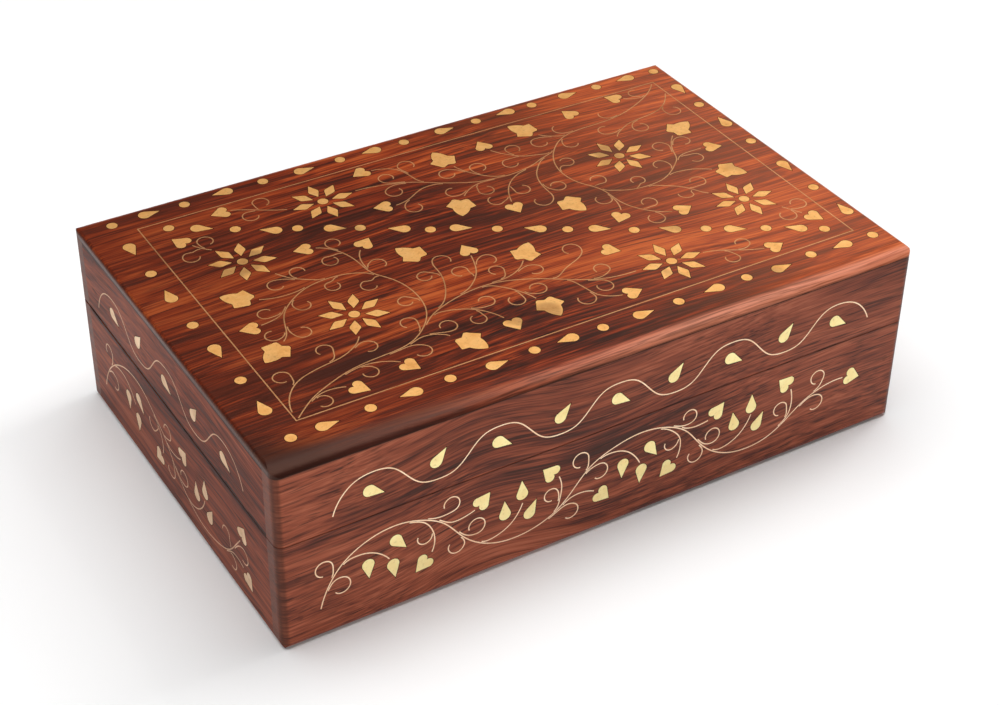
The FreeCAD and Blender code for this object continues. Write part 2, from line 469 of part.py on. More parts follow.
def sheet_pieces(outlines):
    # Solids, cement rings and cutters for pieces of sheet brass.
    solids = []
    rings = []
    cutters = []
    for outline in outlines:
        piece = Part.Face(outline)
        pocket = Part.Face(outline.makeOffset2D(BEDDING, 2))
        solids.append(sunk(piece))
        rings.append(sunk(pocket).cut(sunk(piece, 1.0).fuse(sunk(piece))))
        cutters.append(sunk(pocket, 1.0))
    return solids, rings, cutters


# ---- wire ------------------------------------------------------------------------------
def smooth(points, heading=None):
    curve = Part.BSplineCurve()
    places = [V(x, y, 0) for x, y in points]
    if heading is None:
        curve.interpolate(places)
        return curve
    headings = [heading] + [V(0, 0, 0)] * (len(places) - 1)
    known = [True] + [False] * (len(places) - 1)
    curve.interpolate(Points=places, Tangents=headings, TangentFlags=known)
    return curve


def leave(curve, where, towards):
    # The first point and heading of a wire that starts beside another one.
    place = V(where[0], where[1], 0)
    at = curve.parameter(place)
    start = curve.value(at)
    heading = V(curve.tangent(at)[0])
    aim = V(towards[0], towards[1], 0) - start
    if heading.dot(aim) < 0:
        heading = heading * -1
    side = V(-heading.y, heading.x, 0)
    if side.dot(aim) < 0:
        side = side * -1
    start = start + side * (WIRE + WIRE_GAP)
    return (start.x, start.y), heading * aim.Length


def curl_points(centre, radius, first, last):
    # A turn that tightens by a fifth on its way in.
    steps = max(4, int(abs(last - first) / 45))
    points = []
    for step in range(steps + 1):
        part = step / steps
        x, y, _ = polar(radius * (1 - 0.2 * part), first + (last - first) * part)
        points.append((centre[0] + x, centre[1] + y))
    return points


def ribbon(curve):
    # The flat face of a wire: the curve with an even width on both sides.
    spans = max(6, int(curve.length() / 1.6))
    sides = ([], [])
    first = curve.FirstParameter
    last = curve.LastParameter
    for step in range(spans + 1):
        at = first + (last - first) * step / spans
        place = curve.value(at)
        heading = curve.tangent(at)[0]
        across = V(-heading.y, heading.x, 0) * (WIRE / 2)
        sides[0].append(place + across)
        sides[1].append(place - across)
    edges = []
    for side in sides:
        edge = Part.BSplineCurve()
        edge.interpolate(side)
        edges.append(edge.toShape())
    edges.append(Part.LineSegment(sides[0][0], sides[1][0]).toShape())
    edges.append(Part.LineSegment(sides[0][-1], sides[1][-1]).toShape())
    return Part.Face(Part.Wire(Part.__sortEdges__(edges)))


def grow(stems, curls):
    # Every wire of a vine as a curve.
    curves = {}
    for name, stem in stems.items():
        points = list(stem["points"])
        if "off" in stem:
            points[0], heading = leave(curves[stem["off"]], points[0], points[1])
            curves[name] = smooth(points, heading)
        else:
            curves[name] = smooth(points)
    for number, (parent, where, centre, radius, first, last) in enumerate(curls):
        points = curl_points(centre, radius, first, last)
        start, heading = leave(curves[parent], where, points[0])
        curves["curl %d" % number] = smooth([start] + points, heading)
    return list(curves.values())


def wire_pieces(curves):
    faces = [ribbon(curve) for curve in curves]
    return [sunk(face) for face in faces], [sunk(face, 1.0) for face in faces]


# ---- places --------------------------------------------------------------------------------
def on_top():
    return FreeCAD.Placement(V(0, 0, HEIGHT), FreeCAD.Rotation())


def on_wall(name):
    # Local X runs to the right on the wall as seen from outside, local Y runs up.
    origins = {"front": V(0, -DEPTH / 2, 0), "left": V(-LENGTH / 2, 0, 0), "right": V(LENGTH / 2, 0, 0)}
    rights = {"front": V(1, 0, 0), "left": V(0, -1, 0), "right": V(0, 1, 0)}
    right = rights[name]
    up = V(0, 0, 1)
    return FreeCAD.Placement(origins[name], FreeCAD.Rotation(right, up, right.cross(up), "XYZ"))


def put(shapes, placement):
    moved = []
    for shape in shapes:
        copy = shape.copy()
        copy.Placement = placement.multiply(copy.Placement)
        moved.append(copy)
    return moved


def block(low, high):
    return Part.makeBox(high[0] - low[0], high[1] - low[1], high[2] - low[2], V(*low))


# ---- woodwork ----------------------------------------------------------------------------------
def rounded_prism(width, height, radii, direction):
    # A rectangle of width by height, standing on its lower edge, with a radius at each corner:
    # lower left, lower right, upper right, upper left. It is drawn in XY and then extruded.
    w = width / 2
    corners = [(-w, 0, 1, 1), (w, 0, -1, 1), (w, height, -1, -1), (-w, height, 1, -1)]
    starts = []
    for (x, y, in_x, in_y), radius in zip(corners, radii):
        bend = radius * (1 - math.sqrt(0.5))
        along_x = (x + in_x * radius, y, 0)
        along_y = (x, y + in_y * radius, 0)
        through = (x + in_x * bend, y + in_y * bend, 0)
        starts.append((along_x, through, along_y))
    starts[0] = starts[0][::-1]
    starts[2] = starts[2][::-1]
    edges = []
    for number, (first, through, last) in enumerate(starts):
        if radii[number] > 0:
            edges.append(arc(first, through, last))
        following = starts[(number + 1) % 4][0]
        edges.append(line(last, following))
    return Part.Face(Part.Wire(edges)).extrude(direction)


def roof():
    # Everything under the top: flat, then a quarter ellipse down to the joint at front and back.
    joint = HEIGHT - TOP_BOARD
    x = -LENGTH / 2 - 5
    front_flat = -DEPTH / 2 + FRONT_FALL
    back_flat = DEPTH / 2 - BACK_FALL
    falls = []
    for edge, flat in ((-DEPTH / 2, front_flat), (DEPTH / 2, back_flat)):
        outer = V(x, edge, joint)
        upper = V(x, flat, HEIGHT)
        centre = V(x, flat, joint)
        ellipse = Part.Ellipse(outer, upper, centre)
        falls.append(Part.ArcOfEllipse(ellipse, 0, math.pi / 2).toShape())
    front_foot = (x, -DEPTH / 2, -5)
    back_foot = (x, DEPTH / 2, -5)
    edges = [
        line(front_foot, (x, -DEPTH / 2, joint)), falls[0],
        line((x, front_flat, HEIGHT), (x, back_flat, HEIGHT)), falls[1],
        line((x, DEPTH / 2, joint), back_foot), line(back_foot, front_foot)]
    return Part.Face(Part.Wire(Part.__sortEdges__(edges))).extrude(V(LENGTH + 10, 0, 0))


def envelope():
    # The outside of the closed box, with its rounded edges, as crossed prisms under the top.
    ends = rounded_prism(DEPTH, HEIGHT, (FOOT_R, FOOT_R, 0, 0), V(0, 0, LENGTH))
    ends.Placement = FreeCAD.Placement(
        V(-LENGTH / 2, 0, 0), FreeCAD.Rotation(V(0, 1, 0), V(0, 0, 1), V(1, 0, 0), "XYZ"))
    length = rounded_prism(LENGTH, HEIGHT, (FOOT_R, FOOT_R, END_R, END_R), V(0, 0, DEPTH))
    length.Placement = FreeCAD.Placement(
        V(0, DEPTH / 2, 0), FreeCAD.Rotation(V(1, 0, 0), V(0, 0, 1), V(0, -1, 0), "XYZ"))
    plan = rounded_prism(LENGTH, DEPTH, (CORNER_R,) * 4, V(0, 0, HEIGHT))
    plan.translate(V(0, -DEPTH / 2, 0))
    return ends.common(length).common(plan).common(roof())


def seam_wedge():
    # Everything above the sloping underside of the lid.
    y = DEPTH / 2 + 5
    slope = (GAP_REAR - GAP_FRONT) / DEPTH
    front_z = BASE_RIM_Z + GAP_FRONT - 5 * slope
    rear_z = BASE_RIM_Z + GAP_REAR + 5 * slope
    x = -LENGTH / 2 - 5
    corners = [(x, -y, front_z), (x, y, rear_z), (x, y, HEIGHT + 5), (x, -y, HEIGHT + 5)]
    edges = [line(corners[i], corners[(i + 1) % 4]) for i in range(4)]
    return Part.Face(Part.Wire(edges)).extrude(V(LENGTH + 10, 0, 0))


def wall_blocks(low, high):
    x = LENGTH / 2
    y = DEPTH / 2
    inner_x = x - SIDE_BOARD
    inner_y = y - FRONT_BOARD
    return {
        "front": block((-x, -y, low), (x, -inner_y, high)),
        "back": block((-x, inner_y, low), (x, y, high)),
        "left": block((-x, -inner_y, low), (-inner_x, inner_y, high)),
        "right": block((inner_x, -inner_y, low), (x, inner_y, high))}


def bottom_board(grow_by):
    x = LENGTH / 2 - SIDE_BOARD + RABBET + grow_by
    y = DEPTH / 2 - FRONT_BOARD + RABBET + grow_by
    return block((-x, -y, 0), (x, y, BOTTOM_BOARD))


def lining_strips(low, high):
    # Front and back strips run the full length, side strips stand between them.
    x = LENGTH / 2 - SIDE_BOARD - FIT
    y = DEPTH / 2 - FRONT_BOARD - FIT
    return [
        block((-x, -y, low), (x, -y + LINING, high)),
        block((-x, y - LINING, low), (x, y, high)),
        block((-x, -y + LINING + FIT, low), (-x + LINING, y - LINING - FIT, high)),
        block((x - LINING, -y + LINING + FIT, low), (x, y - LINING - FIT, high))]


def pad(low, high):
    x = LENGTH / 2 - SIDE_BOARD - LINING - 3 * FIT
    y = DEPTH / 2 - FRONT_BOARD - LINING - 3 * FIT
    return block((-x, -y, low), (x, y, high))


# ---- hinges --------------------------------------------------------------------------------------
def rod(centre_x, half_length, radius):
    return Part.makeCylinder(radius, 2 * half_length, V(centre_x - half_length, AXIS_Y, AXIS_Z), V(1, 0, 0))


def outer_knuckles(centre_x, radius, room):
    # The two knuckles that belong to the base, as plain rods.
    half = (HINGE_LENGTH / 2 - KNUCKLE_HALF - KNUCKLE_GAP) / 2
    offset = HINGE_LENGTH / 2 - half
    return [rod(centre_x + side * offset, half + room, radius) for side in (-1, 1)]


def screw(x, face_z, direction):
    # A small countersunk wood screw with a slot, its head flush with the leaf.
    axis = V(0, 0, direction)
    head = Part.makeCone(1.6, 0.75, 0.85, V(x, SCREW_Y, face_z), axis)
    shank = Part.makeCylinder(0.75, 4.2, V(x, SCREW_Y, face_z), axis)
    point = Part.makeCone(0.75, 0.1, 1.2, V(x, SCREW_Y, face_z + 4.2 * direction), axis)
    slot_low = min(face_z, face_z + 0.35 * direction)
    slot = block((x - 2, SCREW_Y - 0.2, slot_low), (x + 2, SCREW_Y + 0.2, slot_low + 0.35))
    whole = head.fuse(shank).fuse(point)
    return whole, whole.cut(slot)


def hinge(centre_x):
    half = HINGE_LENGTH / 2
    low_z = BASE_RIM_Z - LEAF
    lid_z = BASE_RIM_Z + GAP_REAR
    base_plate = block((centre_x - half, LEAF_INNER_Y, low_z), (centre_x + half, AXIS_Y, BASE_RIM_Z))
    lid_plate = block((centre_x - half, LEAF_INNER_Y, lid_z), (centre_x + half, AXIS_Y, lid_z + LEAF))
    room = KNUCKLE_R + KNUCKLE_ROOM
    middle = rod(centre_x, KNUCKLE_HALF, KNUCKLE_R)
    outer = outer_knuckles(centre_x, KNUCKLE_R, 0.0)
    base_leaf = base_plate.cut(rod(centre_x, KNUCKLE_HALF + KNUCKLE_GAP, room))
    base_leaf = base_leaf.fuse(outer).removeSplitter().cut(rod(centre_x, half + 1, PIN_R))
    lid_leaf = lid_plate.cut(outer_knuckles(centre_x, room, KNUCKLE_GAP))
    lid_leaf = lid_leaf.fuse(middle).removeSplitter().cut(rod(centre_x, half + 1, PIN_R + PIN_PLAY))
    base_screws = []
    lid_screws = []
    for step in (-1, 0, 1):
        whole, slotted = screw(centre_x + 8 * step, BASE_RIM_Z, -1)
        base_leaf = base_leaf.cut(whole)
        base_screws.append((whole, slotted))
        whole, slotted = screw(centre_x + 8 * step, lid_z, 1)
        lid_leaf = lid_leaf.cut(whole)
        lid_screws.append((whole, slotted))
    mortise_half = half + FIT / 2
    base_room = [
        block((centre_x - mortise_half, LEAF_INNER_Y - FIT, low_z),
              (centre_x + mortise_half, DEPTH, BASE_RIM_Z + 1)),
        rod(centre_x, half + KNUCKLE_GAP, room)]
    lid_room = [
        block((centre_x - mortise_half, LEAF_INNER_Y - FIT, lid_z - 2),
              (centre_x + mortise_half, DEPTH, lid_z + LEAF)),
        rod(centre_x, half + KNUCKLE_GAP, room)]
    return {
        "base_leaf": base_leaf, "lid_leaf": lid_leaf, "pin": rod(centre_x, half, PIN_R),
        "base_screws": base_screws, "lid_screws": lid_screws,
        "base_room": base_room, "lid_room": lid_room}


# ---- fasteners in the base -------------------------------------------------------------------------
def corner_nails():
    # Nails through the front and back boards into the side boards, their heads filled over.
    nails = []
    fillers = []
    cutters = []
    for side_x in (-1, 1):
        for side_y in (-1, 1):
            for z in NAIL_HEIGHTS:
                face = V(side_x * NAIL_X, side_y * DEPTH / 2, z)
                inward = V(0, -side_y, 0)
                head = face + inward * 1.2
                nails.append(Part.makeCylinder(0.8, 18.0, head, inward))
                nails[-1] = nails[-1].fuse(Part.makeCylinder(1.1, 0.8, head, inward))
                fillers.append(Part.makeCylinder(1.2, 1.2, face, inward))
                cutters.append(nails[-1])
                cutters.append(Part.makeCylinder(1.2, 2.2, face - inward, inward))
    return nails, fillers, cutters


def bottom_brads():
    brads = []
    for x, y in BRAD_SPOTS:
        shank = Part.makeCylinder(0.6, 13.0, V(x, y, 0), V(0, 0, 1))
        brads.append(shank.fuse(Part.makeCylinder(1.3, 0.5, V(x, y, 0), V(0, 0, 1))))
    return brads


# ---- inlay of each face -----------------------------------------------------------------------------
def top_inlay():
    # Groups of flat outlines and wires for the top board.
    flowers = LOWER_FLOWERS + UPPER_FLOWERS
    petals = []
    for x, y, turn in flowers:
        petals += [placed(petal_outline(), x, y, turn + 45 * step) for step in range(8)]
    centres = [placed(dot_outline(), x, y) for x, y, _ in flowers]
    return {
        "top_flower_petals": petals, "top_flower_centres": centres,
        "top_border_dots": [placed(dot_outline(), *spot) for spot in BORDER_DOTS],
        "top_border_drops": [placed(drop_outline(), *spot) for spot in BORDER_DROPS],
        "top_slanting_dots": [placed(dot_outline(), *spot) for spot in SLANTING_DOTS],
        "top_slanting_drops": [placed(drop_outline(), *spot) for spot in SLANTING_DROPS],
        "top_hearts": [placed(heart_outline(), *spot) for spot in LOWER_HEARTS + UPPER_HEARTS],
        "top_ivy_leaves": [placed(ivy_outline(), *spot) for spot in LOWER_IVY + UPPER_IVY]}


def border_wire():
    # Four strips of wire, mitred at the corners.
    middle_x = sum(x for x, _ in BORDER_CORNERS) / 4
    middle_y = sum(y for _, y in BORDER_CORNERS) / 4
    half = WIRE / 2
    inner = []
    outer = []
    for x, y in BORDER_CORNERS:
        out_x = math.copysign(half, x - middle_x)
        out_y = math.copysign(half, y - middle_y)
        inner.append((x - out_x, y - out_y, 0))
        outer.append((x + out_x, y + out_y, 0))
    strips = []
    for i in range(4):
        j = (i + 1) % 4
        corners = [inner[i], inner[j], outer[j], outer[i]]
        strips.append(Part.Face(Part.Wire([line(corners[k], corners[(k + 1) % 4]) for k in range(4)])))
    return strips


def wave(crest, count):
    # The running wire on a lid wall.
    points = []
    half = WAVE_PERIOD / 2
    first = crest - half * (count // 2)
    middle = (WAVE_HIGH + WAVE_LOW) / 2
    swing = (WAVE_HIGH - WAVE_LOW) / 2
    start = (first - 15.0, WAVE_HIGH - WAVE_END_DROP)
    points += [start, (first - 11.6, WAVE_HIGH - 5.6), (first - 7.0, WAVE_HIGH - 1.6)]
    for number in range(count):
        x = first + half * number
        up = 1 if number % 2 == 0 else -1
        points.append((x, middle + up * swing))
        if number < count - 1:
            points.append((x + half / 4, middle + up * swing * 0.84))
            points.append((x + half / 2, middle))
            points.append((x + 3 * half / 4, middle - up * swing * 0.84))
    last = first + half * (count - 1)
    points += [(last + 6.5, WAVE_HIGH - 1.6), (last + 11.0, WAVE_HIGH - 5.4)]
    points.append((last + 13.9, WAVE_HIGH - 10.6))
    return [smooth(points)]


def scroll(design):
    # A base wall's wires: the stem, its curls and its branches.
    stem = smooth(design["stem"])
    branches = []
    for branch in design["branches"]:
        start, heading = leave(stem, branch[0], branch[1])
        branches.append(smooth([start] + branch[1:], heading))
    curls = []
    for parent, where, centre, radius, first, last in design["curls"]:
        source = stem if parent == "stem" else branches[parent]
        points = curl_points(centre, radius, first, last)
        start, heading = leave(source, where, points[0])
        curls.append(smooth([start] + points, heading))
    return [stem] + curls + branches


def build():
    parts = {}
    cutters = {"top": [], "lid": {}, "base": {}}

    def keep(name, shapes):
        parts.setdefault(name, []).extend(shapes)

    # Top board inlay.
    top = on_top()
    for name, outlines in top_inlay().items():
        solids, rings, cuts = sheet_pieces(outlines)
        keep(name, put(solids, top))
        keep("top_inlay_cement", put(rings, top))
        cutters["top"] += put(cuts, top)
    lower = grow(LOWER_STEMS, LOWER_CURLS)
    upper = grow(UPPER_STEMS, UPPER_CURLS)
    strips = border_wire()
    keep("top_border_wire", put([sunk(face) for face in strips], top))
    cutters["top"] += put([sunk(face, 1.0) for face in strips], top)
    for name, curves in (("top_lower_vine_wires", lower), ("top_upper_vine_wires", upper)):
        solids, cuts = wire_pieces(curves)
        keep(name, put(solids, top))
        cutters["top"] += put(cuts, top)

    # Wall inlay.
    for wall, crest, count, wave_spots, design in (
            ("front", FRONT_CREST, 9, FRONT_WAVE_DROPS, FRONT_SCROLL),
            ("left", SIDE_CREST, 5, SIDE_WAVE_DROPS, SIDE_SCROLL),
            ("right", SIDE_CREST, 5, SIDE_WAVE_DROPS, SIDE_SCROLL)):
        place = on_wall(wall)
        group = "front" if wall == "front" else "side"
        cutters["lid"][wall] = []
        cutters["base"][wall] = []
        for level, name, curves in (
                ("lid", "wave_wires", wave(crest, count)),
                ("base", "scroll_wires", scroll(design))):
            solids, cuts = wire_pieces(curves)
            keep("%s_%s_%s" % (level, group, name), put(solids, place))
            cutters[level][wall] += put(cuts, place)
        for level, name, outlines in (
                ("lid", "drops", [placed(drop_outline(), *spot) for spot in wave_spots]),
                ("base", "drops", [placed(drop_outline(), *spot) for spot in design["drops"]]),
                ("base", "hearts", [placed(heart_outline(), *spot) for spot in design["hearts"]])):
            solids, rings, cuts = sheet_pieces(outlines)
            keep("%s_%s_%s" % (level, group, name), put(solids, place))
            keep("%s_%s_inlay_cement" % (level, group), put(rings, place))
            cutters[level][wall] += put(cuts, place)

    # Hinges and fasteners.
    wood_cuts = {"base": [], "lid": []}
    for name, centre_x in (("left", -HINGE_X), ("right", HINGE_X)):
        made = hinge(centre_x)
        keep("%s_hinge_base_leaf" % name, [made["base_leaf"]])
        keep("%s_hinge_lid_leaf" % name, [made["lid_leaf"]])
        keep("%s_hinge_pin" % name, [made["pin"]])
        for level in ("base", "lid"):
            keep("hinge_screws_%s" % level, [slotted for _, slotted in made[level + "_screws"]])
            wood_cuts[level] += made[level + "_room"]
            wood_cuts[level] += [whole for whole, _ in made[level + "_screws"]]
    nails, fillers, nail_cuts = corner_nails()
    keep("base_corner_nails", nails)
    keep("base_nail_fillers", fillers)
    brads = bottom_brads()
    keep("bottom_brads", brads)

    # Boards.
    outside = envelope()
    lid_space = seam_wedge()
    joint_z = HEIGHT - TOP_BOARD
    for name, wall in wall_blocks(0, BASE_RIM_Z).items():
        board = outside.common(wall).cut(bottom_board(FIT))
        tools = list(cutters["base"].get(name, []))
        if name == "back":
            tools += wood_cuts["base"]
        board = board.cut(tools + nail_cuts + brads)
        keep("base_%s_board" % name, [board])
    for name, wall in wall_blocks(BASE_RIM_Z, joint_z).items():
        board = outside.common(wall).common(lid_space)
        tools = list(cutters["lid"].get(name, []))
        if name == "back":
            tools += wood_cuts["lid"]
        if tools:
            board = board.cut(tools)
        keep("lid_%s_board" % name, [board])
    top_board = outside.common(block((-LENGTH, -DEPTH, joint_z), (LENGTH, DEPTH, HEIGHT + 1)))
    keep("lid_top_board", [top_board.cut(cutters["top"])])
    keep("base_bottom_board", [bottom_board(0.0).cut(brads)])

    # Velvet lining.
    keep("base_wall_lining", lining_strips(BOTTOM_BOARD, BASE_RIM_Z - 1.4))
    keep("base_floor_pad", [pad(BOTTOM_BOARD, BOTTOM_BOARD + PAD)])
    keep("lid_wall_lining", lining_strips(BASE_RIM_Z + 2.4, joint_z))
    keep("lid_top_pad", [pad(joint_z - PAD, joint_z)])
    return parts


def write(parts):
    os.makedirs("parts", exist_ok=True)
    for name in sorted(parts):
        solids = []
        for shape in parts[name]:
            solids += shape.Solids
        shape = solids[0] if len(solids) == 1 else Part.makeCompound(solids)
        if not shape.isValid():
            print("not valid:", name)
        shape.exportStep("parts/%s.step" % name)
        print("%-28s %4d solids %10.1f mm3" % (name, len(solids), shape.Volume))
    print(len(parts), "nodes")


write(build())
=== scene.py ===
import math

import bmesh
import bpy
from mathutils import Matrix, Quaternion, Vector


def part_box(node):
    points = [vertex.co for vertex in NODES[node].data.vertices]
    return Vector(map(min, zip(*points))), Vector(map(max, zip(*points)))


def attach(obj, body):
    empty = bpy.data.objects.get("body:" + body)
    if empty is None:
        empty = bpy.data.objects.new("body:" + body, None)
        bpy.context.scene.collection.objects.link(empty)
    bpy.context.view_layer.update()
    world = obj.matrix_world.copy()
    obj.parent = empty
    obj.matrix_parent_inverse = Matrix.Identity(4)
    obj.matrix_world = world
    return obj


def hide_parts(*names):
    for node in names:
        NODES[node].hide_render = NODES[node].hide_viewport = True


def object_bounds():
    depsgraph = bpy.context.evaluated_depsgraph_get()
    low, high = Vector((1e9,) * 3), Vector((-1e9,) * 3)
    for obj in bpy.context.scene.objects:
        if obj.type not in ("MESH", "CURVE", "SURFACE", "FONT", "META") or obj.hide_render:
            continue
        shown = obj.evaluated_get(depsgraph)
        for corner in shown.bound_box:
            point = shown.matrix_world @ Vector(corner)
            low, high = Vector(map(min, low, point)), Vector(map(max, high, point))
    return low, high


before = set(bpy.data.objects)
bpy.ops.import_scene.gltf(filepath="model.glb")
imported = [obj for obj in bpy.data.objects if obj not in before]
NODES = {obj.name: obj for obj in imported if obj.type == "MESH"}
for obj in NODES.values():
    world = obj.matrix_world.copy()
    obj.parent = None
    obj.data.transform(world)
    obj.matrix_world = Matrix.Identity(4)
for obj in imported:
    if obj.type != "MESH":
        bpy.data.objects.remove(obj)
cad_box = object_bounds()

# Lengths are in metres, powers in watts and angles in degrees.
LOWEST = Vector(cad_box[0]).z
BASE_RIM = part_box("base_front_board")[1][2]
TOP_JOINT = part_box("lid_top_board")[0][2]
HALF_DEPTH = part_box("lid_top_board")[1][1]

# ---- camera, light and floor ---------------------------------------------------------------
CAMERA_PLACE = Vector((-0.3172, -0.5252, 0.4653))
CAMERA_TARGET = Vector((-0.00678, -0.01781, 0.037))
CAMERA_LENS_MM = 72.8
CAMERA_SENSOR_MM = 36.0
CAMERA_NEAR = 0.01
CAMERA_LEAN = 0.83

WORLD_COLOUR = (1.0, 1.0, 1.0, 1)
WORLD_STRENGTH = 0.10

FLOOR_HALF = 4.0
FLOOR_DROP = 0.0001     # keeps the floor just under the feet of the box
FLOOR_COLOUR = (0.90, 0.90, 0.90)

# Each softbox: name, place, target, width, height and power.
SOFTBOXES = (
    ("overhead_softbox", (-0.15, 0.18, 1.30), (-0.15, 0.18, 0.0), 1.5, 1.2, 18.0),
    ("overhead_right", (0.85, 0.08, 1.15), (0.1, 0.0, 0.05), 0.55, 0.7, 7.0),
    ("front_left_fill", (-0.80, -1.15, 0.50), (0.0, 0.0, 0.03), 0.7, 0.5, 6.0),
    ("right_sheen", (0.95, 0.86, 0.74), (0.0, 0.0, 0.07), 0.5, 0.4, 0.9),
)


def aimed(place, target):
    """The turn that points a camera or a light from one place at another."""
    return (target - place).to_track_quat("-Z", "Y")


def add_camera():
    data = bpy.data.cameras.new("photo_camera")
    data.lens = CAMERA_LENS_MM
    data.sensor_width = CAMERA_SENSOR_MM
    data.clip_start = CAMERA_NEAR
    camera = bpy.data.objects.new("photo_camera", data)
    bpy.context.scene.collection.objects.link(camera)
    lean = Quaternion((0, 0, 1), math.radians(CAMERA_LEAN))
    turn = (aimed(CAMERA_PLACE, CAMERA_TARGET) @ lean).to_matrix().to_4x4()
    camera.matrix_world = Matrix.Translation(CAMERA_PLACE) @ turn
    bpy.context.scene.camera = camera


def add_softbox(name, place, target, width, height, power):
    data = bpy.data.lights.new(name, "AREA")
    data.shape = "RECTANGLE"
    data.size = width
    data.size_y = height
    data.energy = power
    light = bpy.data.objects.new(name, data)
    bpy.context.scene.collection.objects.link(light)
    turn = aimed(Vector(place), Vector(target)).to_matrix().to_4x4()
    light.matrix_world = Matrix.Translation(place) @ turn


def add_world():
    world = bpy.data.worlds.new("studio")
    world.use_nodes = True
    background = world.node_tree.nodes["Background"]
    background.inputs["Color"].default_value = WORLD_COLOUR
    background.inputs["Strength"].default_value = WORLD_STRENGTH
    bpy.context.scene.world = world
    bpy.context.scene.view_settings.view_transform = "Standard"


def add_floor():
    mesh = bpy.data.meshes.new("floor")
    half = FLOOR_HALF
    corners = [(-half, -half, 0), (half, -half, 0), (half, half, 0), (-half, half, 0)]
    mesh.from_pydata(corners, [], [(0, 1, 2, 3)])
    floor = bpy.data.objects.new("floor", mesh)
    floor.location = (0, 0, LOWEST - FLOOR_DROP)
    bpy.context.scene.collection.objects.link(floor)
    paper = Surface("floor_paper", FLOOR_COLOUR, roughness=0.8, specular_ior_level=0.2)
    paper.bump(paper.noise(260, detail=3), strength=0.02, distance=0.0002)
    mesh.materials.append(paper.made)


# ---- materials -------------------------------------------------------------------------------
class Surface:
    """A principled material and short calls that add the nodes behind its inputs."""

    def __init__(self, name, colour=(0.5, 0.5, 0.5), **values):
        self.made = bpy.data.materials.new(name)
        self.made.use_nodes = True
        self.tree = self.made.node_tree
        self.shader = self.tree.nodes["Principled BSDF"]
        self.shader.inputs["Base Color"].default_value = (*colour, 1)
        for key, value in values.items():
            title = key.replace("_", " ").title().replace("Ior", "IOR")
            self.shader.inputs[title].default_value = value
        self.place = self.add("ShaderNodeTexCoord").outputs["Object"]
        self.last_bump = None

    def add(self, kind, links=(), **settings):
        node = self.tree.nodes.new(kind)
        for key, value in settings.items():
            setattr(node, key, value)
        for slot, value in dict(links).items():
            self.feed(node.inputs[slot], value)
        return node

    def feed(self, slot, value):
        if isinstance(value, bpy.types.NodeSocket):
            self.tree.links.new(value, slot)
        else:
            slot.default_value = value

    def math(self, operation, *values):
        node = self.add("ShaderNodeMath", operation=operation)
        for slot, value in zip(node.inputs, values):
            self.feed(slot, value)
        return node.outputs[0]

    def vector(self, operation, *values):
        node = self.add("ShaderNodeVectorMath", operation=operation)
        for slot, value in zip(node.inputs, values):
            self.feed(slot, value)
        return node.outputs[0]

    def noise(self, scale, detail=2.0, roughness=0.5, place=None):
        links = {"Vector": place or self.place, "Scale": scale, "Detail": detail, "Roughness": roughness}
        return self.add("ShaderNodeTexNoise", links).outputs["Fac"]

    def stretched(self, factors, place=None):
        return self.vector("MULTIPLY", place or self.place, factors)

    def parts(self, vector):
        return self.add("ShaderNodeSeparateXYZ", {"Vector": vector}).outputs

    def true_normal(self):
        return self.parts(self.add("ShaderNodeNewGeometry").outputs["True Normal"])

    def span(self, value, low, high, out_low=0.0, out_high=1.0, smooth=False):
        node = self.add("ShaderNodeMapRange", clamp=True)
        if smooth:
            node.interpolation_type = "SMOOTHSTEP"
        for slot, number in zip(("Value", "From Min", "From Max", "To Min", "To Max"),
                                (value, low, high, out_low, out_high)):
            self.feed(node.inputs[slot], number)
        return node.outputs[0]

    def ramp(self, factor, stops):
        node = self.add("ShaderNodeValToRGB", {"Fac": factor})
        elements = node.color_ramp.elements
        while len(elements) < len(stops):
            elements.new(0.5)
        for element, (position, colour) in zip(elements, stops):
            element.position = position
            element.color = (*colour, 1)
        return node.outputs["Color"]

    def blend(self, factor, first, second, mode="MIX"):
        node = self.add("ShaderNodeMix", data_type="RGBA", blend_type=mode)
        for slot, value in zip((node.inputs[0], node.inputs[6], node.inputs[7]), (factor, first, second)):
            if isinstance(value, tuple):
                value = (*value, 1)
            self.feed(slot, value)
        return node.outputs[2]

    def colour(self, socket):
        self.feed(self.shader.inputs["Base Color"], socket)

    def rough(self, socket):
        self.feed(self.shader.inputs["Roughness"], socket)

    def bump(self, height, strength, distance):
        links = {"Height": height, "Strength": strength, "Distance": distance}
        if self.last_bump:
            links["Normal"] = self.last_bump
        self.last_bump = self.add("ShaderNodeBump", links).outputs["Normal"]
        self.feed(self.shader.inputs["Normal"], self.last_bump)


def set_material(names, material):
    for name in names:
        mesh = NODES[name].data
        mesh.materials.clear()
        mesh.materials.append(material)


# ---- wood ------------------------------------------------------------------------------------
# The colours of each kind of wood, from its darkest tone to its palest.
WOOD_TONES = {
    "top": [(0.12, (0.018, 0.005, 0.003)),
            (0.32, (0.062, 0.010, 0.004)),
            (0.50, (0.150, 0.017, 0.004)),
            (0.68, (0.270, 0.039, 0.008)),
            (0.92, (0.420, 0.085, 0.018))],
    "wall": [(0.12, (0.040, 0.012, 0.009)),
             (0.32, (0.115, 0.024, 0.014)),
             (0.50, (0.220, 0.048, 0.023)),
             (0.68, (0.310, 0.075, 0.036)),
             (0.92, (0.430, 0.120, 0.062))],
    "under": [(0.10, (0.10, 0.04, 0.022)),
              (0.35, (0.19, 0.085, 0.045)),
              (0.62, (0.28, 0.135, 0.072)),
              (0.92, (0.40, 0.21, 0.12))],
}
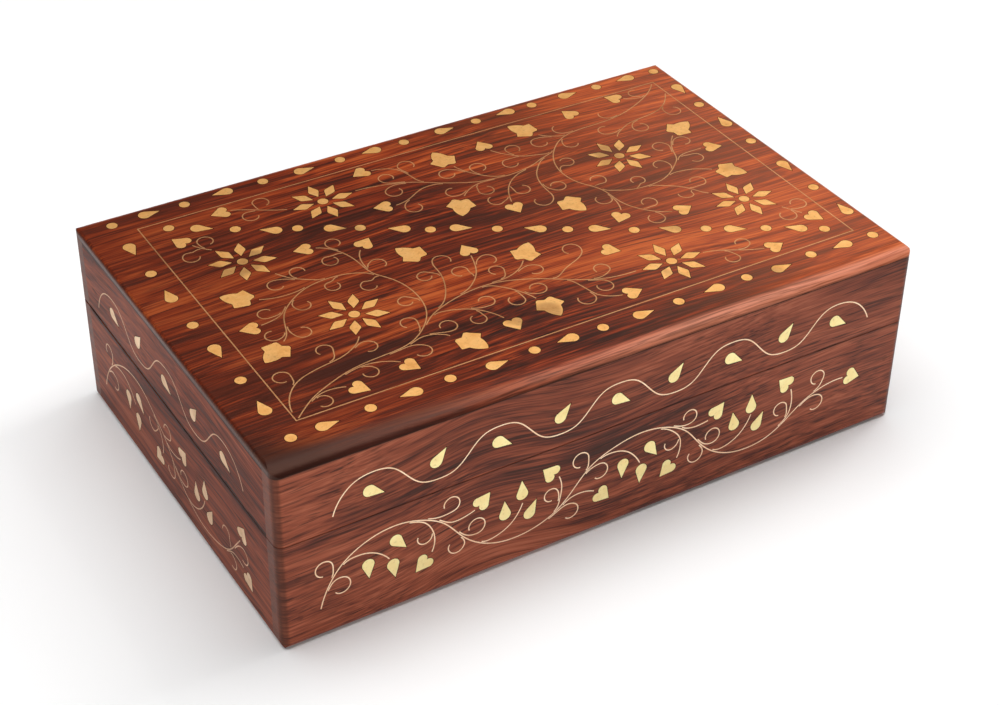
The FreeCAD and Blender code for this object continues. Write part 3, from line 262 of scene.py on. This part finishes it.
# How much each layer of the figure counts in the tone, in the order of FIGURE.
TONE_WEIGHTS = {
    "top": (1.00, 0.80, 1.00, 1.35),
    "wall": (0.80, 0.60, 0.75, 1.35),
    "under": (0.8, 0.8, 0.9, 1.2),
}
MIDDLE_TONE = 0.53
# Clouds, bands, streaks and lines: noise scale, detail, roughness and factor along the grain.
FIGURE = (
    (30.0, 2.0, 0.5, 0.28),
    (115.0, 2.0, 0.5, 0.065),
    (330.0, 3.0, 0.55, 0.045),
    (1250.0, 2.5, 0.6, 0.026),
)
# The grain's slow wander and its small shifts: noise scale and reach sideways.
WANDER = ((12.0, 0.030), (55.0, 0.0042))
WANDER_ALONG = 0.3
GLOSS_TINT = (1.0, 0.55, 0.40, 1)
VEIN_STRENGTH = 0.62
VEIN_SPACING = 0.060
PORE_STRENGTH = 0.75
PORE_COLOUR = (0.018, 0.007, 0.006)
GRAIN_RELIEF = 0.00008
ROUGHNESS_SWING = 0.30

# Top board ends: partly wood tone, partly painted sheen on the right and painted shade on the left.
TOP_WARMTH_AND_SHEEN = (0.210, 0.050, 0.010)
TOP_COOL_AND_SHADE = (0.080, 0.013, 0.005)
# Painted highlight on the top board's rounded front edge.
PAINTED_NOSE_HIGHLIGHT = (0.62, 0.215, 0.125)
# Painted shade on the left end of the top board's rounded front edge.
PAINTED_NOSE_SHADE = (0.030, 0.010, 0.008)
FRONT_LEFT_PAINTED_SHADE = (0.022, 0.006, 0.004)
# Painted shade laid over the end boards.
SIDE_PAINTED_SHADE = (0.090, 0.018, 0.006)
FILLER_SHADE = (0.060, 0.022, 0.016)
END_GRAIN_DARK = (0.050, 0.016, 0.009)
END_GRAIN_PALE = (0.110, 0.036, 0.020)
# Painted shade on the rounded upright corners.
CORNER_SHADE_COLOUR = (0.045, 0.013, 0.008)
# Dark joint lines, with painted shade beside them.
SEAM_LINE_AND_SHADE_COLOUR = (0.014, 0.006, 0.005)

# Each wall board takes its figure from another part of the tree.
WALL_OFFSETS = {
    "front": (0.07, 0.4462, 0.11),
    "back": (0.93, 0.2838, 0.57),
    "left": (0.2957, 0.66, 0.83),
    "right": (0.8843, 0.35, 0.29),
}
# The figure hardly changes through a wall's thickness, so the grain runs on round its corners.
WALL_SQUASH = {"X": (1.0, 0.1, 1.0), "Y": (0.1, 1.0, 1.0)}
# The buried knot that bends the front and back boards' grain: place along X, height and reach.
KNOT = (-0.052, 0.008, 0.028)


def axis_factors(along, by, across=1.0):
    factors = [across, across, across]
    factors["XYZ".index(along)] = by
    return tuple(factors)


def bent_grain(made, x0, height, reach):
    """Lifts the grain lines over a spot along X, as over a buried knot."""
    x = made.parts(made.place)[0]
    away = made.math("DIVIDE", made.math("SUBTRACT", x, x0), reach)
    bell = made.math("POWER", math.e, made.math("MULTIPLY", made.math("MULTIPLY", away, away), -1.0))
    rise = made.math("MULTIPLY", bell, -height)
    return made.add("ShaderNodeCombineXYZ", {"Z": rise}).outputs[0]


def wood(name, along, tones, offset, roughness, specular, knot=None, squash=(1, 1, 1)):
    """Sheesham: long broken streaks, thin near-black veins, clouds and open pores."""
    made = Surface(name, roughness=roughness, specular_ior_level=specular)
    made.shader.inputs["Specular Tint"].default_value = GLOSS_TINT
    board = made.vector("ADD", made.stretched(squash), offset)
    if knot:
        board = made.vector("ADD", board, bent_grain(made, *knot))
    # The grain wanders sideways, never along its own length.
    for scale, reach in WANDER:
        slow = made.stretched(axis_factors(along, WANDER_ALONG), board)
        sway = made.add("ShaderNodeTexNoise", {"Vector": slow, "Scale": scale, "Detail": 1.0})
        sway = made.vector("SUBTRACT", sway.outputs["Color"], (0.5, 0.5, 0.5))
        sway = made.vector("MULTIPLY", sway, axis_factors(along, 0.0, reach))
        board = made.vector("ADD", board, sway)

    def layer(scale, detail, grit, by):
        return made.noise(scale, detail, grit, made.stretched(axis_factors(along, by), board))

    fields = [layer(*values) for values in FIGURE]
    clouds, bands, streaks, lines = fields
    weights = TONE_WEIGHTS[tones]
    tone = MIDDLE_TONE - sum(weights) / 2
    for field, weight in zip(fields, weights):
        tone = made.math("MULTIPLY_ADD", field, weight, tone)
    made.lines = lines
    shade = made.ramp(tone, WOOD_TONES[tones])
    # Veins lie on the level lines of a slow field, so they fork and close like growth rings.
    rings = layer(105.0, 1.5, 0.45, 0.040)
    rings = made.math("MULTIPLY_ADD", lines, 0.10, rings)
    waves = made.math("PINGPONG", rings, VEIN_SPACING)
    veins = made.span(waves, 0.013, 0.001, smooth=True)
    veins = made.math("MULTIPLY", veins, made.span(clouds, 0.64, 0.44))
    darkest = WOOD_TONES[tones][0][1]
    shade = made.blend(made.math("MULTIPLY", veins, VEIN_STRENGTH), shade, darkest)
    # Pores: short dark lines along the grain, crowded where the wood is dark.
    pores = layer(1500.0, 1.0, 0.5, 0.035)
    pores = made.math("MULTIPLY", made.span(pores, 0.56, 0.66), made.span(streaks, 0.66, 0.42))
    shade = made.blend(made.math("MULTIPLY", pores, PORE_STRENGTH), shade, PORE_COLOUR)
    made.rough(made.math("MULTIPLY_ADD", lines, ROUGHNESS_SWING, roughness - ROUGHNESS_SWING / 2))
    made.bump(made.math("SUBTRACT", 1.0, pores), strength=0.25, distance=GRAIN_RELIEF)
    made.bump(lines, strength=0.12, distance=GRAIN_RELIEF)
    return made, shade


def end_grain(made, shade, amount):
    """Board ends across X look darker and duller than the face grain."""
    ends = made.span(made.math("ABSOLUTE", made.true_normal()[0]), 0.6, 0.95, smooth=True)
    dots = made.noise(1400.0, detail=2.0)
    dull = made.blend(made.span(dots, 0.42, 0.62), END_GRAIN_DARK, END_GRAIN_PALE)
    return made.blend(made.math("MULTIPLY", ends, amount), shade, dull)


def painted_corner_shade(made, shade):
    """Painted shade on the rounded upright corners, darkest where the face turns."""
    normal = made.true_normal()
    turned = made.math("ABSOLUTE", made.math("MULTIPLY", normal[0], normal[1]))
    return made.blend(made.span(turned, 0.10, 0.45, 0.0, 0.65, smooth=True), shade, CORNER_SHADE_COLOUR)


def seam_line_and_shade(made, shade, height, reach, strength, soft=5.0):
    """A dark joint line at one height, on upright faces only, with a soft band of painted shade on either
    side.
    """
    z = made.parts(made.place)[2]
    upright = made.span(made.math("ABSOLUTE", made.true_normal()[2]), 0.85, 0.6)
    near = made.math("ABSOLUTE", made.math("SUBTRACT", z, height))
    breakup = made.noise(240.0, detail=3.0)
    line = made.math("LESS_THAN", near, made.math("MULTIPLY", breakup, reach * 2))
    # The thin broken line is the dark joint; the soft band round it is painted shade.
    wide = made.span(near, reach * soft, 0.0, 0.0, 0.5, smooth=True)
    amount = made.math("MULTIPLY", made.math("MAXIMUM", line, wide), strength)
    return made.blend(made.math("MULTIPLY", amount, upright), shade, SEAM_LINE_AND_SHADE_COLOUR)


def dress_top_board():
    top, shade = wood("top_board_wood", "X", "top", (0.31, 0.12, 0.40), 0.36, 0.25)
    x, y = top.parts(top.place)[:2]
    # Warmer and paler towards the right end, darker towards the left: partly the wood's own tone, partly
    # painted sheen on the right and painted shade on the left.
    warm_and_sheen = top.span(x, -0.02, 0.125, 0.0, 0.55, smooth=True)
    shade = top.blend(warm_and_sheen, shade, top.blend(1.0, shade, TOP_WARMTH_AND_SHEEN, "ADD"))
    cool_and_shade = top.span(x, -0.01, -0.115, 0.0, 0.42, smooth=True)
    shade = top.blend(cool_and_shade, shade, TOP_COOL_AND_SHADE)
    # A painted highlight lies along the rounded front edge, fading out towards its left end, where painted
    # shade lies instead.
    front = top.span(y, -HALF_DEPTH + 0.0056, -HALF_DEPTH + 0.0026, smooth=True)
    nose_highlight = top.math("MULTIPLY", front, top.span(x, -0.085, 0.06, 0.10, 1.0, smooth=True))
    nose_highlight = top.math("MULTIPLY", nose_highlight, top.span(top.lines, 0.38, 0.58, 0.35, 1.0))
    shade = top.blend(top.math("MULTIPLY", nose_highlight, 0.85), shade, PAINTED_NOSE_HIGHLIGHT)
    # Painted shade on the rounded front edge near its left end.
    nose = top.span(y, -HALF_DEPTH + 0.0095, -HALF_DEPTH + 0.0045, smooth=True)
    nose_shade = top.math("MULTIPLY", nose, top.span(x, -0.015, -0.085, 0.0, 0.80, smooth=True))
    shade = top.blend(nose_shade, shade, PAINTED_NOSE_SHADE)
    # Painted shade darkens the top towards its front left corner.
    slanting = top.math("ADD", top.math("MULTIPLY", x, 0.8), y)
    corner = top.span(slanting, -0.150, -0.172, 0.0, 0.88, smooth=True)
    shade = top.blend(corner, shade, FRONT_LEFT_PAINTED_SHADE)
    shade = end_grain(top, shade, 0.7)
    # Dark joint line under the rounded front edge, with a wider band of painted shade above it.
    shade = seam_line_and_shade(top, shade, TOP_JOINT, 0.00024, 0.9, 7.0)
    top.colour(shade)
    set_material(["lid_top_board"], top.made)


def dress_walls():
    for level, seam in (("base", BASE_RIM), ("lid", TOP_JOINT)):
        for side, offset in WALL_OFFSETS.items():
            name = "%s_%s_board" % (level, side)
            if side in ("front", "back"):
                made, shade = wood(name + "_wood", "X", "wall", offset, 0.48, 0.36, KNOT, WALL_SQUASH["X"])
                shade = end_grain(made, shade, 0.60)
                shade = painted_corner_shade(made, shade)
                shade = seam_line_and_shade(made, shade, seam, 0.00018, 0.75)
            else:
                made, shade = wood(name + "_wood", "Y", "wall", offset, 0.48, 0.10, None, WALL_SQUASH["Y"])
                shade = painted_corner_shade(made, shade)
                # Painted shade: the end boards are laid a little darker all over.
                shade = made.blend(0.20, shade, SIDE_PAINTED_SHADE)
                shade = seam_line_and_shade(made, shade, seam, 0.00030, 0.95)
                # The seam between base and lid gets the widest and darkest line and painted shade on the
                # ends.
                shade = seam_line_and_shade(made, shade, BASE_RIM + 0.0003, 0.00110, 0.97, 2.0)
            made.colour(shade)
            set_material([name], made.made)


def dress_small_wood():
    under, shade = wood("bottom_board_wood", "X", "under", (0.2, 0.9, 0.1), 0.62, 0.3)
    under.colour(shade)
    set_material(["base_bottom_board"], under.made)
    # The fillers are cut from offcuts: the same figure as the front board, a little darker.
    offset = WALL_OFFSETS["front"]
    filler, shade = wood("filler_wood", "X", "wall", offset, 0.5, 0.3, KNOT, WALL_SQUASH["X"])
    mottle = filler.noise(700.0, detail=3.0)
    shade = filler.blend(filler.span(mottle, 0.35, 0.65, 0.10, 0.45), shade, FILLER_SHADE)
    filler.colour(shade)
    set_material(["base_nail_fillers"], filler.made)


# ---- metal and cement --------------------------------------------------------------------------
TARNISH = (0.24, 0.115, 0.048)


def brass(name, bright, dull, roughness, scratch_turn, tarnish=0.0):
    """Filed and polished brass: soft patina clouds and fine one-way scratches."""
    made = Surface(name, metallic=1.0, roughness=roughness)
    clouds = made.noise(170.0, detail=4.0, roughness=0.6)
    spots = made.span(made.noise(900.0, detail=2.0), 0.58, 0.75)
    mixed = made.blend(made.span(clouds, 0.35, 0.75), bright, dull)
    mixed = made.blend(made.math("MULTIPLY", spots, 0.35), mixed, tuple(c * 0.45 for c in dull))
    if tarnish:
        old = made.span(made.noise(52.0, detail=1.0), 0.62, 0.74, 0.0, tarnish, smooth=True)
        mixed = made.blend(old, mixed, TARNISH)
    made.colour(mixed)
    turn = made.add("ShaderNodeVectorRotate", {"Vector": made.place, "Angle": math.radians(scratch_turn)},
                    rotation_type="Z_AXIS")
    scratches = made.noise(2600.0, detail=2.0, place=made.stretched((0.03, 1, 1), turn.outputs[0]))
    made.bump(scratches, strength=0.18, distance=0.00003)
    wear = made.math("ADD", made.math("MULTIPLY", scratches, 0.3), clouds)
    made.rough(made.span(wear, 0.4, 1.0, roughness - 0.07, roughness + 0.12))
    return made.made


def dress_brass():
    # The sheet and wire brass comes in lit and shaded copies of one metal: darker and more orange on the
    # top, pale and bright on the front, pinker on the ends. These differences are painted light and shade;
    # the tarnish is the brass's own.
    top = brass("top_sheet_brass", (0.90, 0.51, 0.18), (0.68, 0.34, 0.10), 0.52, 24, 0.45)
    wall = brass("wall_sheet_brass", (0.98, 0.85, 0.42), (0.93, 0.73, 0.32), 0.38, 12)
    top_wire = brass("top_wire_brass", (0.62, 0.33, 0.15), (0.42, 0.20, 0.08), 0.50, 40, 0.4)
    wall_wire = brass("wall_wire_brass", (1.00, 0.76, 0.53), (0.88, 0.58, 0.35), 0.36, 40)
    hinge = brass("hinge_brass", (0.66, 0.46, 0.20), (0.36, 0.22, 0.08), 0.34, 3)
    side = brass("side_sheet_brass", (0.80, 0.58, 0.36), (0.66, 0.43, 0.25), 0.42, 75)
    side_wire = brass("side_wire_brass", (0.72, 0.46, 0.28), (0.50, 0.29, 0.16), 0.42, 75)
    on_top = [n for n in NODES if n.startswith("top_") and "cement" not in n]
    set_material([n for n in on_top if "wire" not in n], top)
    set_material([n for n in on_top if "wire" in n], top_wire)
    on_walls = [n for n in NODES if not n.startswith("top_")]
    sheets = [n for n in on_walls if n.endswith(("_drops", "_hearts"))]
    set_material([n for n in sheets if "front" in n], wall)
    set_material([n for n in sheets if "side" in n], side)
    wires = [n for n in on_walls if "wire" in n]
    set_material([n for n in wires if "front" in n], wall_wire)
    set_material([n for n in wires if "side" in n], side_wire)
    set_material([n for n in NODES if "hinge" in n], hinge)


def dress_steel():
    steel = Surface("nail_steel", metallic=1.0, roughness=0.45)
    spots = steel.noise(900.0, detail=4.0)
    steel.colour(steel.ramp(spots, [(0.3, (0.16, 0.13, 0.11)), (0.7, (0.45, 0.43, 0.40))]))
    steel.bump(steel.noise(2200.0), strength=0.2, distance=0.00004)
    set_material(["base_corner_nails", "bottom_brads"], steel.made)


def dress_cement():
    cement = Surface("inlay_cement", roughness=0.6, specular_ior_level=0.0)
    grains = cement.noise(1100.0, detail=3.0)
    cement.colour(cement.ramp(grains, [(0.3, (0.010, 0.005, 0.004)), (0.8, (0.050, 0.022, 0.014))]))
    cement.bump(cement.noise(1600.0), strength=0.3, distance=0.00006)
    set_material([n for n in NODES if "cement" in n], cement.made)


# ---- velvet linings ----------------------------------------------------------------------------
SHEEN_TINT = (0.95, 0.45, 0.50, 1)
STRIP_THICK = 0.0012
STRIP_CROWN = 0.00025
STRIP_CELLS = 60
PAD_CROWN = 0.0007
PAD_CELLS = 110
FEWEST_CELLS = 6
RIM_RADIUS = 0.0016     # the rounded rim of a panel
RIM_SHARE = 0.9         # and the most of a thin panel's thickness that it takes
RIM_STEPS = 4
EDGE_HEIGHT = 0.18      # height of the rim's foot, as a share of the thickness
EDGE_RISE = 0.82
LEAST_HEIGHT = 0.1
CROWN_SLOPE = 6         # the crown is reached a sixth of the way in
RIPPLE = 0.35           # depth of the slow ripple, as a share of the crown


def velvet():
    made = Surface("velvet", roughness=0.85, sheen_weight=0.7, sheen_roughness=0.35)
    made.shader.inputs["Sheen Tint"].default_value = SHEEN_TINT
    nap = made.noise(90.0, detail=4.0, roughness=0.6)
    pile = made.noise(3200.0, detail=1.0)
    tone = made.math("MULTIPLY_ADD", pile, 0.25, nap)
    made.colour(made.ramp(tone, [(0.30, (0.070, 0.005, 0.010)),
                                 (0.6, (0.105, 0.008, 0.015)),
                                 (0.90, (0.150, 0.013, 0.022))]))
    made.bump(pile, strength=0.35, distance=0.0001)
    made.bump(nap, strength=0.25, distance=0.0004)
    return made.made


def stations(count, length, rim):
    """Grid lines across a panel: close together round the rim and even between."""
    inner = [rim + (length - 2 * rim) * k / count for k in range(count + 1)]
    edge = [rim * (1 - math.cos(math.pi / 2 * k / RIM_STEPS)) for k in range(RIM_STEPS)]
    return edge + inner + [length - e for e in reversed(edge)]


def panel_height(u, v, spans, thick, rim, crown):
    """Height of a panel's front over its flat back at one grid point."""
    down = 1.0
    for place, length in ((u, spans[0]), (v, spans[1])):
        near = min(place, length - place)
        if near < rim:
            down = min(down, math.sqrt(max(0.0, 1 - (1 - near / rim) ** 2)))
    wide = min(1.0, CROWN_SLOPE * u / spans[0], CROWN_SLOPE * (spans[0] - u) / spans[0])
    tall = min(1.0, CROWN_SLOPE * v / spans[1], CROWN_SLOPE * (spans[1] - v) / spans[1])
    swell = math.sin(math.pi / 2 * max(0.0, wide)) * math.sin(math.pi / 2 * max(0.0, tall))
    ripple = 0.5 + 0.5 * math.sin(u * 31 + 1.7 * math.sin(v * 23)) * math.cos(v * 27 + math.sin(u * 19))
    height = thick * (EDGE_HEIGHT + EDGE_RISE * down) - crown * (1 - swell)
    height = height - crown * RIPPLE * swell * ripple
    return max(height, thick * LEAST_HEIGHT)


def soft_panel(name, low, high, face, body, material, crown, cells):
    """A covered panel in the box low..high: flat back, rounded rim and a crowned front."""
    low = Vector(low)
    high = Vector(high)
    axis = "XYZ".index(face[1])
    outward = face[0] == "+"
    others = [i for i in range(3) if i != axis]
    spans = [high[i] - low[i] for i in others]
    thick = high[axis] - low[axis]
    rim = min(thick * RIM_SHARE, RIM_RADIUS)
    across = [stations(max(FEWEST_CELLS, int(cells * s / max(spans))), s, rim) for s in spans]
    mesh = bmesh.new()
    grid = []
    for u in across[0]:
        row = []
        for v in across[1]:
            point = [0.0, 0.0, 0.0]
            point[others[0]] = low[others[0]] + u
            point[others[1]] = low[others[1]] + v
            height = panel_height(u, v, spans, thick, rim, crown)
            point[axis] = low[axis] + height if outward else high[axis] - height
            row.append(mesh.verts.new(point))
        grid.append(row)
    for i in range(len(grid) - 1):
        for j in range(len(grid[0]) - 1):
            mesh.faces.new((grid[i][j], grid[i + 1][j], grid[i + 1][j + 1], grid[i][j + 1]))
    border = ([row[0] for row in grid] + grid[-1][1:] + [row[-1] for row in reversed(grid[:-1])]
              + list(reversed(grid[0][1:-1])))
    foot = []
    for vertex in border:
        point = vertex.co.copy()
        point[axis] = low[axis] if outward else high[axis]
        foot.append(mesh.verts.new(point))
    for i in range(len(border)):
        j = (i + 1) % len(border)
        mesh.faces.new((border[i], border[j], foot[j], foot[i]))
    mesh.faces.new(foot)
    bmesh.ops.recalc_face_normals(mesh, faces=mesh.faces)
    data = bpy.data.meshes.new(name)
    mesh.to_mesh(data)
    mesh.free()
    for polygon in data.polygons:
        polygon.use_smooth = True
    data.materials.append(material)
    piece = bpy.data.objects.new(name, data)
    bpy.context.scene.collection.objects.link(piece)
    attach(piece, body)
    return piece


def wall_panels(node, body, material):
    """Four covered strips in the place of a lining node, one on each wall."""
    low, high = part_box(node)
    inner_left = low[0] + STRIP_THICK
    inner_right = high[0] - STRIP_THICK
    walls = (
        ("front", "+Y", (inner_left, low[1], low[2]), (inner_right, low[1] + STRIP_THICK, high[2])),
        ("back", "-Y", (inner_left, high[1] - STRIP_THICK, low[2]), (inner_right, high[1], high[2])),
        ("left", "+X", (low[0], low[1], low[2]), (inner_left, high[1], high[2])),
        ("right", "-X", (inner_right, low[1], low[2]), (high[0], high[1], high[2])),
    )
    for side, face, near, far in walls:
        name = "%s_%s_lining" % (body, side)
        piece = soft_panel(name, near, far, face, body, material, STRIP_CROWN, STRIP_CELLS)
    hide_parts(node)


def add_linings():
    cloth = velvet()
    for node, body, face in (("base_floor_pad", "base", "+Z"), ("lid_top_pad", "lid", "-Z")):
        low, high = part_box(node)
        name = body + "_velvet_pad"
        piece = soft_panel(name, low, high, face, body, cloth, PAD_CROWN, PAD_CELLS)
        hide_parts(node)
    wall_panels("base_wall_lining", "base", cloth)
    wall_panels("lid_wall_lining", "lid", cloth)


add_camera()
add_world()
add_floor()
for softbox in SOFTBOXES:
    add_softbox(*softbox)
dress_top_board()
dress_walls()
dress_small_wood()
dress_brass()
dress_steel()
dress_cement()
add_linings()
